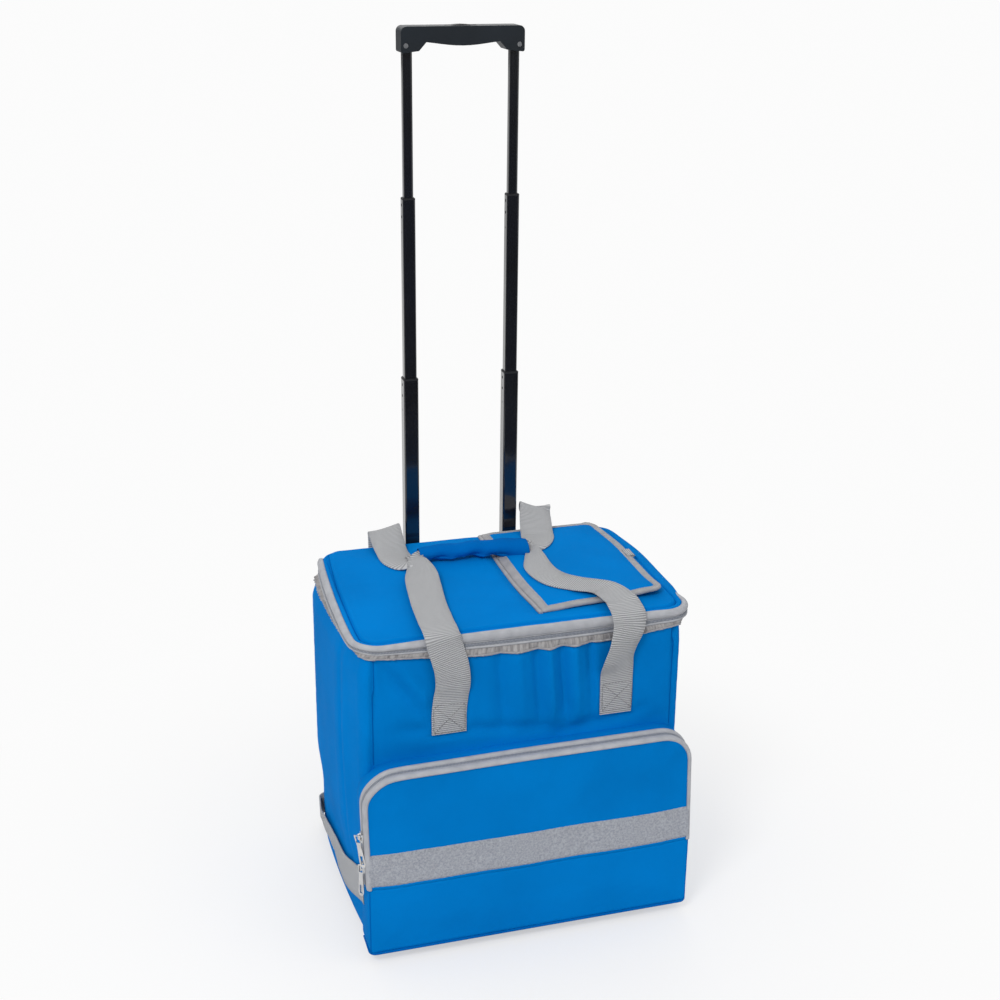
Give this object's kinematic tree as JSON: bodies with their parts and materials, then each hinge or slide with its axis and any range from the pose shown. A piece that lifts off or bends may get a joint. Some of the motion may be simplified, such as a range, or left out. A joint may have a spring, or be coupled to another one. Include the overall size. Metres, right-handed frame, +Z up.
{
  "type": "cooler bag on wheels",
  "caption": "Soft insulated cooler bag on a two-wheel trolley frame with a telescopic pull handle, zipped lid with a quick-access hatch, zipped front pocket and webbing carry loops.",
  "frame": {"origin": "middle of the footprint, on the ground under the wheels and feet", "axes": "+Z up, -Y the pocket side, +X to the right as seen from the pocket side"},
  "size_m": [0.376, 0.3191, 0.9442],
  "materials": {
    "blue_cloth": "woven polyester, satin",
    "dark_cloth": "woven polyester, satin",
    "webbing": "ribbed webbing",
    "zip_tape": "woven zip tape",
    "hook_loop": "napped loop tape",
    "liner": "welded film",
    "foam": "closed-cell foam",
    "black_plastic": "moulded, fine grain",
    "grip_plastic": "moulded, satin",
    "black_tube": "gloss black",
    "steel": "zinc plated",
    "nickel": "nickel plated",
    "tyre_rubber": "matt"
  },
  "bodies": {
    "bag_and_frame": {"front_panel": "blue_cloth", "back_panel": "blue_cloth", "side_panel_left": "blue_cloth", "side_panel_right": "blue_cloth", "bottom_panel": "dark_cloth", "foam_boards": "foam", "inner_liner": "liner", "base_board": "black_plastic", "rim_band": "webbing", "front_strap_ends": "webbing", "back_strap_ends": "webbing", "side_belts": "webbing", "pocket_gusset": "blue_cloth", "pocket_lower_front": "blue_cloth", "pocket_rear_tape": "zip_tape", "bottom_piping": "dark_cloth", "back_sleeve": "dark_cloth", "outer_tubes": "black_tube", "outer_collars": "black_plastic", "base_tray": "black_plastic", "tray_screws": "steel", "axle": "steel", "front_feet": "black_plastic"},
    "upper_stage": {"upper_tubes": "black_tube", "upper_plugs": "black_plastic", "grip_front": "grip_plastic", "grip_rear": "grip_plastic", "grip_screws": "steel", "button_springs": "steel"},
    "middle_stage": {"middle_tubes": "black_tube", "middle_collars": "black_plastic", "middle_plugs": "black_plastic"},
    "lower_stage": {"lower_tubes": "black_tube", "lower_collars": "black_plastic", "lower_plugs": "black_plastic"},
    "release_button": {"release_button": "black_plastic", "push_rods": "steel"},
    "wheel_left": {"wheel_hub_left": "black_plastic", "tyre_left": "tyre_rubber"},
    "wheel_right": {"wheel_hub_right": "black_plastic", "tyre_right": "tyre_rubber"},
    "lid": {"lid_panel": "blue_cloth", "lid_lining": "liner", "lid_band": "zip_tape", "lid_piping": "blue_cloth", "hatch_seam": "webbing"},
    "hatch": {"hatch_flap": "blue_cloth", "hatch_binding": "webbing"},
    "pocket_flap": {"pocket_flap": "blue_cloth", "hook_loop_strip": "hook_loop", "pocket_front_tape": "zip_tape"},
    "front_strap": {"front_strap": "webbing", "grip_wrap": "blue_cloth"},
    "back_strap": {"back_strap": "webbing"},
    "pocket_slider_upper": {"pocket_slider_upper": "nickel"},
    "pocket_slider_lower": {"pocket_slider_lower": "nickel"},
    "pocket_pull_upper": {"pocket_pull_upper": "nickel"},
    "pocket_pull_lower": {"pocket_pull_lower": "nickel"},
    "lid_slider": {"lid_slider": "nickel"},
    "lid_pull": {"lid_pull": "nickel"}
  },
  "joints": [
    {"name": "lower_stage_slide", "type": "slide", "parent": "bag_and_frame", "child": "lower_stage", "axis": [0, 0, 1], "range_m": [-0.2, 0]},
    {"name": "middle_stage_slide", "type": "slide", "parent": "lower_stage", "child": "middle_stage", "axis": [0, 0, 1], "range_m": [-0.203, 0]},
    {"name": "upper_stage_slide", "type": "slide", "parent": "middle_stage", "child": "upper_stage", "axis": [0, 0, 1], "range_m": [-0.152, 0]},
    {"name": "release_button_press", "type": "slide", "parent": "upper_stage", "child": "release_button", "axis": [0, 0, -1], "range_m": [0, 0.004], "stiffness_N_per_m": 900, "springref_m": -0.002, "deforming": ["button_springs"]},
    {"name": "wheel_left_spin", "type": "hinge", "parent": "bag_and_frame", "child": "wheel_left", "pos_m": [-0.13, 0.1275, 0.032], "axis": [1, 0, 0], "continuous": true},
    {"name": "wheel_right_spin", "type": "hinge", "parent": "bag_and_frame", "child": "wheel_right", "pos_m": [0.13, 0.1275, 0.032], "axis": [1, 0, 0], "continuous": true},
    {"name": "lid_hinge", "type": "hinge", "parent": "bag_and_frame", "child": "lid", "pos_m": [0, 0.1326, 0.3595], "axis": [-1, 0, 0], "range_deg": [0, 80], "deforming": ["front_strap", "grip_wrap", "back_strap"]},
    {"name": "hatch_hinge", "type": "hinge", "parent": "lid", "child": "hatch", "pos_m": [0.02015, 0.019, 0.3636], "axis": [0, -1, 0], "range_deg": [0, 115], "deforming": ["front_strap", "grip_wrap", "back_strap"]},
    {"name": "pocket_flap_hinge", "type": "hinge", "parent": "bag_and_frame", "child": "pocket_flap", "pos_m": [0, -0.1582, 0.093], "axis": [1, 0, 0], "range_deg": [0, 85]},
    {"name": "front_strap_fold", "type": "hinge", "parent": "bag_and_frame", "child": "front_strap", "pos_m": [0, -0.126, 0.3635], "axis": [1, 0, 0], "range_deg": [0, 110]},
    {"name": "back_strap_fold", "type": "hinge", "parent": "bag_and_frame", "child": "back_strap", "pos_m": [0, 0.1416, 0.3655], "axis": [-1, 0, 0], "range_deg": [0, 75]},
    {"name": "pocket_slider_upper_slide", "type": "slide", "parent": "bag_and_frame", "child": "pocket_slider_upper", "axis": [0, 0, 1], "range_m": [0, 0.03]},
    {"name": "pocket_slider_lower_slide", "type": "slide", "parent": "bag_and_frame", "child": "pocket_slider_lower", "axis": [0, 0, 1], "range_m": [-0.012, 0.004]},
    {"name": "pocket_pull_upper_swing", "type": "hinge", "parent": "pocket_slider_upper", "child": "pocket_pull_upper", "pos_m": [-0.1857, -0.14877, 0.15618], "axis": [0, 0.9816, -0.1908], "range_deg": [0, 140]},
    {"name": "pocket_pull_lower_swing", "type": "hinge", "parent": "pocket_slider_lower", "child": "pocket_pull_lower", "pos_m": [-0.1857, -0.149, 0.1192], "axis": [0, 1, 0], "range_deg": [0, 140]},
    {"name": "lid_slider_slide", "type": "slide", "parent": "bag_and_frame", "child": "lid_slider", "axis": [-0.02, 0.9998, 0], "range_m": [-0.12, 0.03]},
    {"name": "lid_pull_swing", "type": "hinge", "parent": "lid_slider", "child": "lid_pull", "pos_m": [0.1857, 0.0488, 0.3465], "axis": [0, 0, -1], "range_deg": [0, 140]}
  ],
  "couplings": [
    {"joint": "front_strap_fold", "follows": "lid_hinge", "ratio": 1.34},
    {"joint": "back_strap_fold", "follows": "lid_hinge", "ratio": 0.92}
  ]
}
